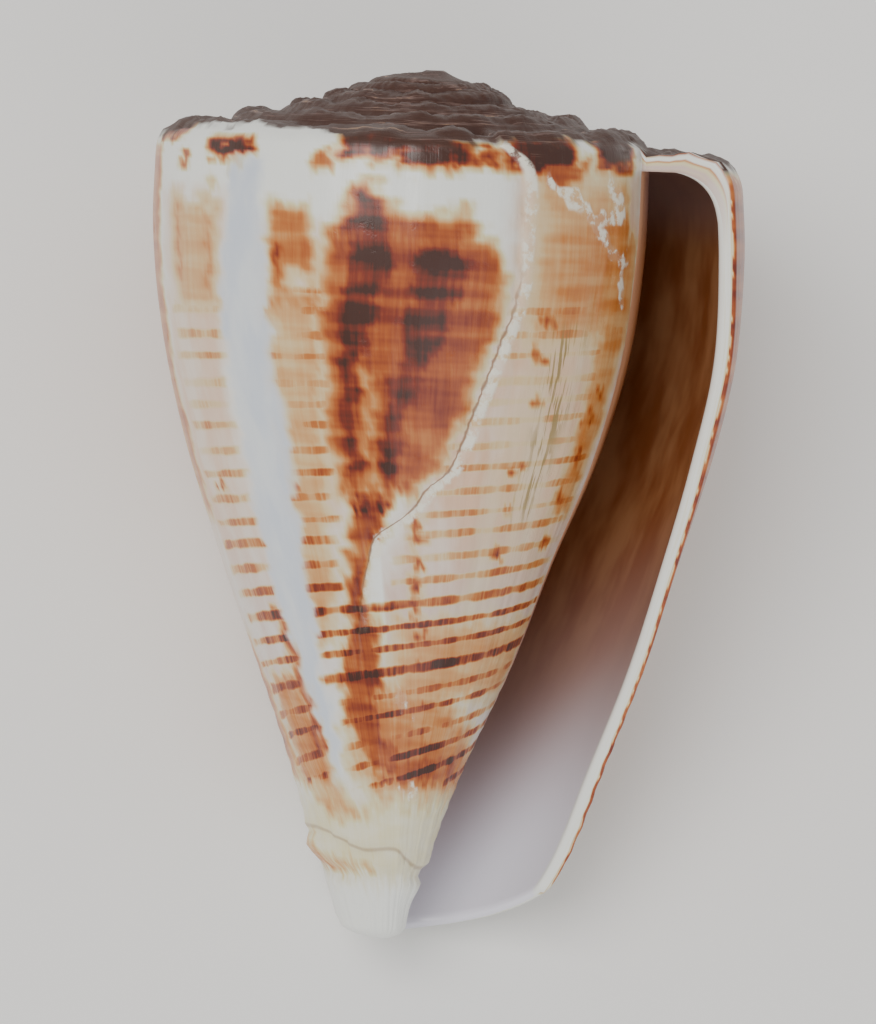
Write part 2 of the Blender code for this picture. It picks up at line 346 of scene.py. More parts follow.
def radius(back, station):
    """Outer radius at a station, this many turns back from the lip."""
    lip, half, turn = (math.log(through(STATIONS, o, station)) for o in (AT_LIP, HALF_BACK, TURN_BACK))
    x = back / HALF_TURN
    if x > 2:
        return math.exp(turn + (x - 2) * (0.5 * lip - 2 * half + 1.5 * turn))
    return math.exp(lip * (x - 1) * (x - 2) / 2 - half * x * (x - 2) + turn * x * (x - 1) / 2)


def corner(back):
    """Radius and station of the shoulder's edge before rounding."""
    r = radius(back, STATIONS[0]) * eased(WHORLS - back)
    return r, SPIRE_SLOPE * r + APEX_RISE * (1 - math.exp(-r / APEX_REACH))


def on_shoulder(back, share, inset=0.0, drop=0.0):
    """Point on the rounded shoulder, 0 where the top ends and 1 where the side starts."""
    r, station = corner(back)
    d = SHOULDER_ROUNDING * r
    r, station = r - inset, station + drop
    start = Vector((r - d, station - RAMP_SLOPE * d))
    end = Vector((side_radius(back, station + d, False) - inset, station + d))
    edge = Vector((r, station))
    return start.lerp(edge, share).lerp(edge.lerp(end, share), share)


def suture(back):
    """Where the next whorl joins this one."""
    return on_shoulder(back, SUTURE_AT) if back < WHORLS else Vector((0, 0))


def side_radius(back, station, rounded=True):
    """Outer radius below the suture, with the last of the shoulder's rounding."""
    r, top = corner(back)
    d = SHOULDER_ROUNDING * r
    if rounded and station < top + d:
        x = (station - top) / d
        a, b = 1 - RAMP_SLOPE, 2 * RAMP_SLOPE
        share = (math.sqrt(max(b * b + 4 * a * (RAMP_SLOPE + x), 0)) - b) / (2 * a)
        return on_shoulder(back, share).x
    return radius(back, station)


def rim_station(back):
    """Station of the front edge: rounded off at the lip, and furthest out behind the columella."""
    retreat = LIP_RETREAT * max(1 - back / RIM_LEVELS_AT, 0.0) ** RETREAT_BOW
    reach = CANAL_REACH * math.sin(math.tau * back) ** 2 if back < FLOOR_CLOSES_AT else 0.0
    return FRONT_END + reach - retreat


def wall(back, station):
    """Thickness of the outer wall, which thins inwards along the hollow."""
    return mix(WALL_AT_SHOULDER, WALL_AT_FRONT, station / FRONT_END) * (1 - WALL_THINS * back)


def floor_station(back):
    """Station where the hollow narrows to nothing."""
    return FRONT_END + FLOOR_RISE * (FLOOR_CLOSES_AT - back)


def placed(back, r, station):
    """Point of a section, turned to its place in the shell's own frame, in millimetres."""
    reach = (station - LEAN_START) / (FRONT_END - LEAN_START)
    angle = LIP_ANGLE + math.tau * back + LIP_LEAN * max(reach, 0.0) ** LEAN_BOW
    return Vector((r * math.cos(angle), r * math.sin(angle), -station))


def rest_turn():
    """Turns the shell's frame so that it lies on its back: apex towards +Y, mouth to +Z."""
    on_back = Matrix.Rotation(math.radians(-90), 4, "X")
    tipped = Matrix.Rotation(PITCH, 4, "X") @ Matrix.Rotation(ROLL, 4, "Y")
    return Matrix.Rotation(YAW, 4, "Z") @ tipped @ on_back


def break_turn(run):
    return through(BREAK_RUNS, BREAK_TURNS, run)


def collar_run(back):
    """Run of the wavy edge where the body ends above the worn front collar."""
    return through(COLLAR_TURNS, COLLAR_RUNS, back)


def row_phase(back, run):
    """Which spiral row a point is on: whole numbers are the middles of rows."""
    return (run * math.exp(ROW_RISE * (back - ROW_TURN)) - ROW_RUN) / ROW_GAP


def bump(distance, width):
    return math.exp(-(distance / width) ** 2)


def relief(back, run, around):
    """How far the outside stands out of the plain outline. Around is the length of one turn here."""
    given = surface()
    waves = noise.noise(Vector((back * WAVES, run * 0.12, 3.1)))
    waves += 0.5 * noise.noise(Vector((back * RIPPLES, run * 0.2, 7.7)))
    height = given.growth_waves / MM * waves
    cords = eased((run - CORDS_START) / CORDS_FADE) * eased((COLLAR_END - run) / 1.5)
    if cords:
        height += given.cords / MM * cords * math.cos(math.tau * row_phase(back, run))
    if BREAK_SPAN[0] < back < BREAK_SPAN[1] and run < BREAK_END:
        across = (back - break_turn(run)) * around
        lasting = eased((BREAK_END - run) / BREAK_FADE)
        if across < 0:
            height -= given.break_step / MM * lasting * math.exp(across / BREAK_SLOPES[0])
        else:
            height += 0.4 * given.break_step / MM * lasting * math.exp(-across / BREAK_SLOPES[1])
        height -= given.break_groove / MM * lasting * bump(across, GROOVE_WIDTH)
    if back > COLLAR_START and run > COLLAR_TOP:
        edge = collar_run(back)
        shown = eased((back - COLLAR_START) / COLLAR_FADE)
        if run < edge:
            height += shown * given.collar_step / MM * math.exp((run - edge) / COLLAR_SLOPE)
        else:
            swelling = bump(run - edge - BULGE_BELOW, BULGE_WIDTH)
            knob = 1 + KNOB * bump(back - KNOB_TURN, KNOB_WIDTH)
            height += shown * COLLAR_BULGE * swelling * knob
        height -= shown * COLLAR_GROOVE * bump(run - COLLAR_END, GROOVE_WIDTH)
    return height


def stood_out(back, r, station, run, tilt):
    """A point of the outside's section with its relief. Tilt is 0 on the top and 1 on the side."""
    around = math.tau * max(r, 0.5)
    height = relief(back, run, around) * eased((WHORLS - 1 - back) / 0.5)
    top = corner(back)[1] if back < WHORLS else 0.0
    worn = eased((top + WEAR_BELOW - run) / WEAR_FADE)
    if worn:
        at = placed(back, r, station)
        scales = Vector((at.x * FLAKE_SIZE, at.y * FLAKE_SIZE, at.z))
        flakes = FLAKE_STEPS * noise.fractal(scales, 1.0, 2.1, 3)
        terraces = (math.floor(flakes) + eased(3 * (flakes % 1))) / FLAKE_STEPS
        height -= worn * surface().spire_wear / MM * (0.5 + terraces) * eased((r - 1) / 5)
        height += worn * APEX_FULLNESS * bump(r - APEX_FULL_AT, APEX_FULL_AT / 2)
    return r + height * tilt, station - height * (1 - tilt)


def rounded_edge(distance, rounding):
    """How far a wall's face draws in at this distance from its rounded edge."""
    if distance >= rounding:
        return 0.0
    return rounding - math.sqrt(rounding ** 2 - (rounding - distance) ** 2)


def draws_in(back, r, station, rounding):
    """Rounding of the wall at the lip and along the front edge."""
    inset = rounded_edge(back * math.tau * r, rounding)
    free = eased((FLOOR_CLOSES_AT - back) / 0.1)
    return max(inset, free * rounded_edge(max(rim_station(back) - station, 0.0), rounding))


def seam(back):
    """The suture, with its relief."""
    if back >= WHORLS:
        return Vector((0, 0))
    point = suture(back)
    return Vector(stood_out(back, point.x, point.y, point.y, SUTURE_AT))


def crown_column(back):
    """The top of the whorl, from the suture behind it out over the rounded shoulder."""
    if back >= WHORLS:
        return [(Vector(), back, 0.0)] * (CROWN_ROWS + 1)
    r_edge, top = corner(back)
    d = SHOULDER_ROUNDING * r_edge
    inner, outer = suture(back + 1), on_shoulder(back, 0)
    first = seam(back + 1)
    column = [(placed(back, first.x, first.y), back, top - r_edge + inner.x)]
    for i in range(1, RAMP_ROWS):
        share = i / RAMP_ROWS
        point = inner.lerp(outer, share)
        point.y += RAMP_HOLLOW * (outer.x - inner.x) * 4 * share * (1 - share)
        run = top - r_edge + point.x
        r, station = stood_out(back, point.x, point.y, run, 0.0)
        column.append((placed(back, r, station), back, run))
    for i in range(SHOULDER_ROWS + 1):
        share = SUTURE_AT * i / SHOULDER_ROWS
        point = on_shoulder(back, share)
        run = mix(top - d, suture(back).y, i / SHOULDER_ROWS)
        r, station = stood_out(back, point.x, point.y, run, share)
        r -= draws_in(back, r, 0.0, surface().outer_rounding / MM)
        column.append((placed(back, r, station), back, run))
    return column


def side_point(back, station):
    """Radius of the outside, with its relief and its rounding at the wall's edges."""
    r = stood_out(back, side_radius(back, station), station, station, 1.0)[0]
    return r - draws_in(back, r, station, surface().outer_rounding / MM)


def side_column(back):
    """The tall side, from the suture down to the front edge."""
    start = suture(back).y
    stations = [mix(start, start + CEILING, i / UPPER_ROWS) for i in range(1, UPPER_ROWS)]
    stations += [mix(start + CEILING, rim_station(back), i / LOWER_ROWS) for i in range(LOWER_ROWS + 1)]
    top = crown_column(back)[-1]
    return [top] + [(placed(back, side_point(back, s), s), back, s) for s in stations]


def hollow_sides(back, station):
    """Radii of the hollow's outer and inner side, drawn together towards its floor."""
    rounding = draws_in(back, LIP_RADIUS, station, surface().inner_rounding / MM)
    outer = radius(back, station) - wall(back, station) + rounding
    inner = side_point(back + 1, station)
    x = min(max((floor_station(back) - station) / FLOOR_ROUNDING, 0.0), 1.0)
    pull = (1 - math.sqrt(x * (2 - x))) / 2
    return mix(outer, inner, pull), mix(inner, outer, pull)


def hollow_end(back):
    return min(rim_station(back), floor_station(back))


def roof_column(back):
    """Inside of the outer wall: ceiling, shoulder and side, down to the front edge or the floor."""
    start = suture(back + 1).y + CEILING
    inside = Vector((side_point(back + 1, start), start))
    inset = wall(back, start) - draws_in(back, LIP_RADIUS, 0.0, surface().inner_rounding / MM)
    edge = on_shoulder(back, 0, inset, CEILING)
    points = [inside.lerp(edge, i / RAMP_ROWS) for i in range(RAMP_ROWS)]
    turns = SHOULDER_ROWS + UPPER_ROWS
    points += [on_shoulder(back, i / turns, inset, CEILING) for i in range(turns)]
    top, end = on_shoulder(back, 1, inset, CEILING).y, hollow_end(back)
    for i in range(LOWER_ROWS + 1):
        station = mix(top, end, i / LOWER_ROWS)
        points.append(Vector((hollow_sides(back, station)[0], station)))
    return [(placed(back, p.x, p.y), back, p.y) for p in points]


def core_column(back):
    """Inner side of the hollow, on the whorl before."""
    start = suture(back + 1).y + CEILING
    end = hollow_end(back)
    if end >= rim_station(back):
        end = rim_station(back + 1)
    column = []
    for i in range(LOWER_ROWS + 1):
        station = mix(start, end, i / LOWER_ROWS)
        r = hollow_sides(back, station)[1] if i else side_point(back + 1, start)
        column.append((placed(back + 1, r, station), back + 1, station))
    return column


def between(first, second, segments, span=0.0):
    """Even steps from one point of a section to another. The turn on the map grows by span on the way."""
    steps = []
    for i in range(segments + 1):
        share = i / segments
        steps.append((first[0].lerp(second[0], share), mix(first[1], second[1] + span, share), first[2]))
    return steps


def tip_columns(ring):
    """The rounded tip: the ring of the columella's edge, drawn in and down to one point."""
    centre = sum((point for point, _, _ in ring), Vector()) / len(ring)
    columns = []
    for point, back, run in ring:
        column = []
        for row in range(TIP_ROWS + 1):
            angle = math.pi / 2 * row / TIP_ROWS
            drop = Vector((0, 0, -TIP_HEIGHT * math.sin(angle)))
            at = centre.lerp(point, math.cos(angle)) + drop
            column.append((at, back, run + (point - at).length))
        columns.append(column)
    return columns


def turn_at(column):
    """Turn of a column: crowded at the lip, and close together on the half that shows."""
    whole, part = divmod(column, TURN_COLUMNS)
    if part < BACK_COLUMNS:
        share = HALF_TURN * (part / BACK_COLUMNS) ** BACK_CROWDING
    else:
        share = mix(HALF_TURN, 1.0, (part - BACK_COLUMNS) / FACE_COLUMNS)
    return whole + share


def hollow_turn_at(column):
    """Turn of a column of the hollow, which matches the side's columns up to half a turn back."""
    if column <= BACK_COLUMNS:
        return turn_at(column)
    return mix(HALF_TURN, 1.0, (column - BACK_COLUMNS) / DEEP_COLUMNS)


def cover(patch, turn, run, around):
    """How much of a painted patch covers a point, from 0 to 1."""
    mid_turn, half_turn, mid_run, half_run, amount, soft = patch
    over_run = abs(run - mid_run) - half_run
    if over_run > soft:
        return 0.0
    over_turn = (abs(turn - mid_turn) - half_turn) * around
    if over_turn > soft:
        return 0.0
    return amount * eased((soft - over_run) / (2 * soft)) * eased((soft - over_turn) / (2 * soft))


def paint(turn, run):
    """The painted layers at a point of the outside."""
    around = math.tau * radius(min(turn, 1.0), run)
    wander = Vector((turn * 40, run * 0.9, 1.3))
    spread_turn = turn + RAGGED_TURN / around * noise.fractal(wander, 0.8, 2.2, 3)
    spread_run = run + RAGGED_RUN * noise.fractal(wander * 1.6 + Vector((17, 5, 2)), 0.8, 2.2, 3)
    layers = dict.fromkeys(LAYERS, 0.0)
    for patch in PATCHES:
        layers["pigment"] = max(layers["pigment"], cover(patch, spread_turn, spread_run, around))
    for layer, areas in AREAS.items():
        for amount, soft, runs, lefts, rights in areas:
            beyond = not runs[0] - soft < spread_run < runs[-1] + soft
            if beyond or not lefts[0] - 0.1 < turn < max(rights) + 0.1:
                continue
            left, right = (through(runs, edge, spread_run) for edge in (lefts, rights))
            depth = min(spread_turn - left, right - spread_turn) * around
            depth = min(depth, spread_run - runs[0], runs[-1] - spread_run)
            amount *= eased((depth + soft) / (2 * soft))
            if layer == "bare":
                layers["pigment"] *= 1 - amount
            else:
                layers[layer] = max(layers[layer], amount)
    shown = eased((RAY_END - run) / RAY_FADE) * eased((spread_run - RAY_START) / 0.8)
    for ray_runs, ray_left, ray_right in RAYS:
        left, right = (through(ray_runs, edge, run) for edge in (ray_left, ray_right))
        depth = min(spread_turn - left, right - spread_turn) * around
        layers["ray"] = max(layers["ray"], eased((depth + RAY_EDGE) / (2 * RAY_EDGE)) * shown)
    top = corner(turn)[1] if turn < WHORLS else 0.0
    reach = through(REACH_TURNS, SPIRE_REACHES, turn)
    layers["spire"] = eased((top + reach - spread_run - 0.5 * noise.noise(wander * 2.3)) / 0.6)
    if run < top + 1.6:
        layers["spire"] = max(layers["spire"], eased((turn - 0.98) / 0.04))
    off = (turn - break_turn(run)) * around
    layers["from_break"] = min(max(off, -MARK_REACH), MARK_REACH)
    layers["from_collar"] = min(max(run - collar_run(turn), -MARK_REACH), MARK_REACH)
    layers["scar"] = bump(off - SCAR_AT, SCAR_WIDTH) * eased((SCAR_END - run) / 8)
    for line in CHIPS_AND_HIGHLIGHTS:
        for (turn_a, run_a), (turn_b, run_b) in zip(line, line[1:]):
            start, end = Vector((turn_a * around, run_a)), Vector((turn_b * around, run_b))
            near = Vector((spread_turn * around, spread_run))
            if (near - start).length > CHIP_REACH:
                continue
            along = (near - start).dot(end - start) / (end - start).length_squared
            foot = start.lerp(end, min(max(along, 0.0), 1.0))
            layers["scar"] = max(layers["scar"], bump((near - foot).length, CHIP_WIDTH))
    return layers


def hidden_areas():
    """The same kinds of marks on the side that the photograph doesn't show."""
    for middle in HIDDEN_COLUMNS:
        low, high = middle - 0.025, middle + 0.025
        yield "flush", 0.8, 1.2, (7.5, 41.0), (low - 0.02, low - 0.02), (high + 0.02, high + 0.02)
        yield "pigment", 0.55, 0.9, (8.2, 24.0), (low, middle - 0.015), (high, middle + 0.02)
        left, right = (middle - 0.012, middle - 0.008), (middle + 0.01, middle + 0.005)
        yield "pigment", 0.84, 0.8, (9.0, 23.0), left, right
        yield "pigment", 0.5, 1.0, (33.0, 41.0), (low, low), (high, high)


for hidden_layer, *hidden_area in hidden_areas():
    AREAS[hidden_layer].append(hidden_area)


class Shell:
    """The shell's mesh while it grows, one sheet after another."""

    def __init__(self, to_frame):
        self.bm = bmesh.new()
        self.to_frame = to_frame
        self.turn = self.bm.verts.layers.float.new("turn")
        self.run = self.bm.verts.layers.float.new("run")
        self.layers = {name: self.bm.verts.layers.float.new(name) for name in LAYERS}
        self.growth = self.bm.loops.layers.uv.new("growth")

    def sheet(self, columns, material, painted=False):
        """A grid drawn over these columns of points."""
        rows = len(columns[0]) - 1
        start = len(self.bm.faces)
        grid = bmesh.ops.create_grid(self.bm, x_segments=len(columns) - 1, y_segments=rows, size=1)
        for i, vert in enumerate(grid["verts"]):
            row, column = divmod(i, len(columns))
            point, turn, run = columns[column][row]
            vert.co = self.to_frame @ (point * MM)
            vert[self.turn], vert[self.run] = turn, run
            if painted:
                for name, amount in paint(turn, run).items():
                    vert[self.layers[name]] = amount
        self.bm.faces.ensure_lookup_table()
        for face in self.bm.faces[start:]:
            face.material_index = material
            face.smooth = True
            for loop in face.loops:
                loop[self.growth].uv = (loop.vert[self.turn], loop.vert[self.run])


OUTSIDE, LIP, INSIDE = range(3)


def grow_shell(to_frame):
    """All the sheets of the shell, welded into one closed surface."""
    shell = Shell(to_frame)
    crown = [crown_column(turn_at(c)) for c in range(WHORLS * TURN_COLUMNS + 1)]
    side = [side_column(turn_at(c)) for c in range(TURN_COLUMNS + 1)]
    roof = [roof_column(hollow_turn_at(c)) for c in range(HOLLOW_COLUMNS + 1)]
    core = [core_column(hollow_turn_at(c)) for c in range(HOLLOW_COLUMNS + 1)]
    shell.sheet(crown, OUTSIDE, painted=True)
    shell.sheet(side, OUTSIDE, painted=True)
    shell.sheet(roof, INSIDE)
    shell.sheet(core, INSIDE)

    # Lip: across the wall from the outside's section to the roof's, starting on the whorl before
    outside = crown[0] + side[0][1:]
    inner_end = side[TURN_COLUMNS][:UPPER_ROWS + 1]
    lip = [[(point, LIP_SPAN * i / UPPER_ROWS, run) for i, (point, _, run) in enumerate(inner_end)]]
    lip += [between(first, second, UPPER_ROWS, LIP_SPAN) for first, second in zip(outside[1:], roof[0][1:])]
    shell.sheet(lip, LIP)

    # Front edge of the wall, then the tip around the columella
    front = [between(side[c][-1], roof[c][-1], UPPER_ROWS) for c in range(BACK_COLUMNS + 1)]
    shell.sheet(front, LIP)
    ring = [side[c][-1] for c in range(TURN_COLUMNS, BACK_COLUMNS, -1)]
    ring += front[-1][:-1]
    ring += [core[c][-1] for c in range(BACK_COLUMNS, -1, -1)]
    shell.sheet(tip_columns(ring), OUTSIDE, painted=True)
    bmesh.ops.remove_doubles(shell.bm, verts=shell.bm.verts, dist=WELD)
    apex = to_frame @ Vector()
    pole = [v for v in shell.bm.verts if (v.co - apex).length < POLE]
    bmesh.ops.remove_doubles(shell.bm, verts=pole, dist=2 * POLE)
    bmesh.ops.holes_fill(shell.bm, edges=[e for e in shell.bm.edges if e.is_boundary])
    bmesh.ops.recalc_face_normals(shell.bm, faces=shell.bm.faces)
    return shell.bm


def lie_down():
    """From the shell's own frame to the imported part's: the pose at rest, moved to fill the solid's box."""
    turn = rest_turn()
    low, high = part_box("cone_shell")
    coarse = [crown_column(c / COARSE) + side_column(c / COARSE)[::6] for c in range(COARSE + 1)]
    points = [turn @ (point * MM) for column in coarse for point, _, _ in column]
    own = [(min(p[i] for p in points), max(p[i] for p in points)) for i in range(3)]
    middle = (low + high) / 2
    shift = Vector((middle.x - sum(own[0]) / 2, high.y - own[1][1], high.z - own[2][1]))
    return Matrix.Translation(shift) @ turn


# Materials

def rgba(value):
    """A colour as a socket takes it. Anything else stays as it is."""
    return (*value, 1) if isinstance(value, (tuple, Color)) else value


class Nodes:
    """A node tree with short calls for adding linked nodes."""

    def __init__(self, tree):
        self.tree = tree

    def put(self, value, socket):
        if isinstance(value, bpy.types.NodeSocket):
            self.tree.links.new(value, socket)
        elif value is not None:
            socket.default_value = value

    def fill(self, node, **values):
        """Values for a node's inputs, by their names."""
        for name, value in values.items():
            self.put(value, node.inputs[name.replace("_", " ").title()])

    def new(self, kind, **settings):
        node = self.tree.nodes.new(kind)
        for name, value in settings.items():
            setattr(node, name, value)
        return node

    def math(self, operation, first, second=None, third=None, clamp=False):
        node = self.new("ShaderNodeMath", operation=operation, use_clamp=clamp)
        for value, socket in zip((first, second, third), node.inputs):
            self.put(value, socket)
        return node.outputs[0]

    def times(self, first, second, plus=None):
        """One value times another, and plus a third where there is one."""
        return self.math("MULTIPLY" if plus is None else "MULTIPLY_ADD", first, second, plus)

    def mix(self, factor, first, second, blend="MIX"):
        node = self.new("ShaderNodeMix", data_type="RGBA", blend_type=blend)
        self.put(factor, node.inputs["Factor"])
        for value, socket in ((first, node.inputs[6]), (second, node.inputs[7])):
            self.put(rgba(value), socket)
        return node.outputs[2]

    def noise(self, vector, scale=1, detail=2, roughness=0.5):
        node = self.new("ShaderNodeTexNoise")
        self.fill(node, vector=vector, scale=scale, detail=detail, roughness=roughness)
        return node.outputs["Fac"]

    def spread(self, value, low, high, to_low=0, to_high=1, kind="SMOOTHSTEP"):
        """Maps a range of a value to another, clamped at both ends."""
        node = self.new("ShaderNodeMapRange", interpolation_type=kind, clamp=True)
        self.fill(node, value=value, from_min=low, from_max=high, to_min=to_low, to_max=to_high)
        return node.outputs["Result"]

    def vector(self, x, y, z=0):
        node = self.new("ShaderNodeCombineXYZ")
        for value, socket in zip((x, y, z), node.inputs):
            self.put(value, socket)
        return node.outputs[0]

    def attribute(self, name):
        return self.new("ShaderNodeAttribute", attribute_name=name).outputs["Fac"]

    def growth(self):
        """Turn and run of the point, from the piece's own map."""
        map_node = self.new("ShaderNodeUVMap", uv_map="growth")
        split = self.new("ShaderNodeSeparateXYZ")
        self.put(map_node.outputs["UV"], split.inputs[0])
        return split.outputs["X"], split.outputs["Y"]

    def ramp(self, value, stops):
        node = self.new("ShaderNodeValToRGB")
        self.put(value, node.inputs[0])
        elements = node.color_ramp.elements
        while len(elements) < len(stops):
            elements.new(0.5)
        for element, (position, colour) in zip(elements, stops):
            element.position = position
            element.color = (*colour, 1)
        return node.outputs["Color"]

    def group(self, tree, **inputs):
        node = self.new("ShaderNodeGroup", node_tree=tree)
        self.fill(node, **inputs)
        return node.outputs

    def bump(self, height, strength, distance, normal=None):
        node = self.new("ShaderNodeBump")
        self.fill(node, height=height, strength=strength, distance=distance, normal=normal)
        return node.outputs["Normal"]


def new_group(name, inputs, outputs):
    """An empty node group with these named sockets. Inputs come with their default values."""
    tree = bpy.data.node_groups.new(name, "ShaderNodeTree")
    for socket, default in inputs.items():
        made = tree.interface.new_socket(socket, in_out="INPUT", socket_type="NodeSocketFloat")
        made.default_value = default
    for socket in outputs:
        tree.interface.new_socket(socket, in_out="OUTPUT", socket_type="NodeSocketFloat")
    nodes = Nodes(tree)
    return tree, nodes, nodes.new("NodeGroupInput").outputs, nodes.new("NodeGroupOutput").inputs


def streaks_group():
    """Growth lines that run along the shell: broad bands and fine lines."""
    tree, n, given, out = new_group("Growth Streaks", {"Broad": 30, "Fine": 260.0}, ("Bands", "Lines"))
    turn, run = n.growth()
    wander = n.times(n.noise(n.vector(turn, run), 0.2, 1), 0.008, turn)
    for name, along in (("Broad", 0.12), ("Fine", 0.22)):
        at = n.vector(n.times(wander, given[name]), n.times(run, along))
        n.put(n.noise(at, 1, 3, 0.6), out["Bands" if name == "Broad" else "Lines"])
    return tree


def rows_group():
    """Spiral rows of dashes, which rise with each turn back."""
    tree, n, given, out = new_group("Spiral Rows", {"Width": 0.17, "Breaks": 30.0}, ("Dashes",))
    turn, run = n.growth()
    rise = n.math("EXPONENT", n.times(n.math("SUBTRACT", turn, ROW_TURN), ROW_RISE))
    phase = n.math("DIVIDE", n.math("SUBTRACT", n.times(run, rise), ROW_RUN), ROW_GAP)
    uneven = n.noise(n.vector(0, n.times(run, rise)), 0.45, 1)
    phase = n.times(uneven, 0.6, phase)
    row = n.math("ROUND", phase)
    wobble = n.math("SUBTRACT", n.noise(n.vector(n.times(turn, 45), row), 1, 2), 0.5)
    off = n.math("ABSOLUTE", n.times(wobble, 0.16, n.math("SUBTRACT", phase, row)))
    lasting = n.noise(n.vector(n.times(turn, given["Breaks"]), n.times(row, 7.3)), 1, 2)
    width = n.times(given["Width"], n.spread(lasting, 0.3, 0.62, 0.75, 1.15))
    line = n.spread(off, n.math("ADD", width, 0.09), n.math("SUBTRACT", width, 0.08))
    strong = n.spread(n.noise(n.vector(n.times(row, 3.7), 0.5), 1, 1), 0.3, 0.65, 0.65, 1.1)
    line = n.times(line, strong)
    n.put(n.times(line, n.spread(lasting, 0.28, 0.6, 0.4, 1)), out["Dashes"])
    return tree


def speckle_group():
    """Small worn spots in the surface."""
    tree, n, given, out = new_group("Worn Speckle", {"Scale": 900, "Amount": 0.5}, ("Spots",))
    at = n.new("ShaderNodeTexCoord").outputs["Object"]
    spots = n.noise(at, given["Scale"], 5, 0.65)
    low = n.math("SUBTRACT", 1, given["Amount"])
    n.put(n.spread(spots, low, n.math("ADD", low, 0.12)), out["Spots"])
    return tree


def shader(name, looks):
    """A material whose one Principled shader takes its colour, roughness and normal from looks(nodes)."""
    material = bpy.data.materials.new(name)
    material.use_nodes = True
    n = Nodes(material.node_tree)
    principled = material.node_tree.nodes["Principled BSDF"]
    for socket, value in looks(n).items():
        n.put(rgba(value), principled.inputs[socket])
    return material


def outside_looks(colours, streaks, rows, speckle):
    stops = ((0, colours.porcelain), (0.14, colours.cream), (0.3, colours.tan), (0.46, colours.orange),
             (0.62, colours.rust), (0.8, colours.red_brown), (1, colours.dark))

    def looks(n):
        turn, run = n.growth()
        marks = {name: n.attribute(name) for name in LAYERS}
        growth = n.group(streaks)
        bands = n.spread(growth["Bands"], 0.3, 0.7)
        lines = n.spread(growth["Lines"], 0.3, 0.7)
        dashes = n.group(rows)["Dashes"]
        fleck = n.group(speckle, scale=700, amount=0.42)["Spots"]

        spirals = n.noise(n.vector(n.times(turn, 9), n.times(run, 0.9)), 1, 2)
        strength = n.times(bands, 0.2, n.times(lines, 0.14, 0.68))
        strength = n.math("ADD", strength, n.spread(spirals, 0.3, 0.7, 0, 0.36))
        washes = n.times(marks["pigment"], strength)
        lined = n.times(n.times(marks["rows"], dashes), n.spread(bands, 0, 1, 0.6, 1))
        lined = n.times(lined, n.spread(growth["Lines"], 0.36, 0.56, 0.75, 1.05))
        lines_here = n.times(lined, n.spread(run, 18, 34, 0.46, 0.95))
        pigment = n.math("MAXIMUM", washes, n.times(washes, 0.45, lines_here))
        pigment = n.times(pigment, n.times(marks["ray"], -0.92, 1))
        colour = n.ramp(pigment, stops)

        blush = n.mix(n.spread(run, 22, 34), colours.flush, colours.flush_low)
        ground = n.times(marks["flush"], n.spread(pigment, 0.3, 0.05))
        colour = n.mix(n.times(ground, n.spread(bands, 0, 1, 0.6, 1)), colour, blush)
        shaded = n.times(marks["ray"], n.spread(bands, 0, 1, 0.55, 1))
        colour = n.mix(shaded, colour, colours.ray)
        grime = n.times(marks["grime"], n.spread(lines, 0.5, 0.72))
        colour = n.mix(grime, colour, colours.grime)
        # Pale crumbs along the break, and the pale cracks: chipped shell, and on the cracks partly painted
        # highlight
        crumbs = n.group(speckle, scale=1100, amount=0.56)["Spots"]
        crumbs = n.times(n.spread(marks["scar"], 0.1, 0.6), n.times(crumbs, 0.85, 0.12))
        colour = n.mix(crumbs, colour, colours.pale)
        thickness = n.spread(n.noise(n.vector(0, run), 1.4, 2), 0.35, 0.65, 0.06, 0.16)
        broken = n.spread(n.math("ABSOLUTE", marks["from_break"]), thickness, 0.02)
        broken = n.times(broken, n.spread(run, 9, 15))
        broken = n.times(broken, n.spread(run, 36, 26, 0, 0.85))
        worn_edge = n.spread(n.math("ABSOLUTE", marks["from_collar"]), 0.2, 0.02, 0, 0.45)
        colour = n.mix(n.math("MAXIMUM", broken, worn_edge), colour, colours.crack)

        # Spire: flaked dark brown, partly its own pigment and partly painted shade, darkened for the low
        # light it gets
        flakes = n.noise(n.vector(n.times(turn, 11), n.times(run, 1.5)), 1, 6, 0.65)
        rings = n.noise(n.vector(n.times(turn, 2), n.times(run, 9)), 1, 2)
        flakes = n.times(rings, 0.25, n.times(flakes, 0.8))
        spire = n.ramp(flakes, ((0.42, colours.dark), (0.5, colours.spire), (0.55, colours.dark),
                                (0.58, colours.spire), (0.65, colours.scale), (0.74, colours.tan)))
        colour = n.mix(marks["spire"], colour, spire)
        height = n.math("ADD", growth["Lines"], n.times(fleck, -0.5, crumbs))
        height = n.times(n.times(marks["spire"], flakes), 2.5, height)
        worn = n.math("MAXIMUM", fleck, n.times(marks["spire"], 0.8))
        return {
            "Base Color": colour,
            "Roughness": n.spread(worn, 0, 1, colours.gloss, colours.gloss + 0.25),
            "Coat Weight": n.times(marks["spire"], -0.1, 0.14),
            "Coat Roughness": 0.18,
            "Normal": n.bump(height, 0.22, 0.00012),
        }
    return looks


def lip_looks(colours, streaks):
    def looks(n):
        turn, run = n.growth()
        growth = n.group(streaks)
        across = n.times(n.math("SUBTRACT", growth["Bands"], 0.5), 0.2, n.math("DIVIDE", turn, LIP_SPAN))
        plain = n.ramp(across, ((0, colours.tan), (0.1, colours.cream), (0.25, colours.porcelain)))
        layered = n.ramp(across, ((0, colours.rust), (0.12, colours.porcelain), (0.3, colours.porcelain),
                                  (0.38, colours.orange), (0.5, colours.cream), (0.7, colours.flush_low)))
        colour = n.mix(n.spread(run, 4, 9, 1, 0), plain, layered)
        colour = n.mix(n.spread(growth["Lines"], 0.45, 0.75, 0, 0.5), colour, colours.cream)
        return {"Base Color": colour, "Roughness": 0.38, "Coat Weight": 0.2, "Coat Roughness": 0.2}
    return looks


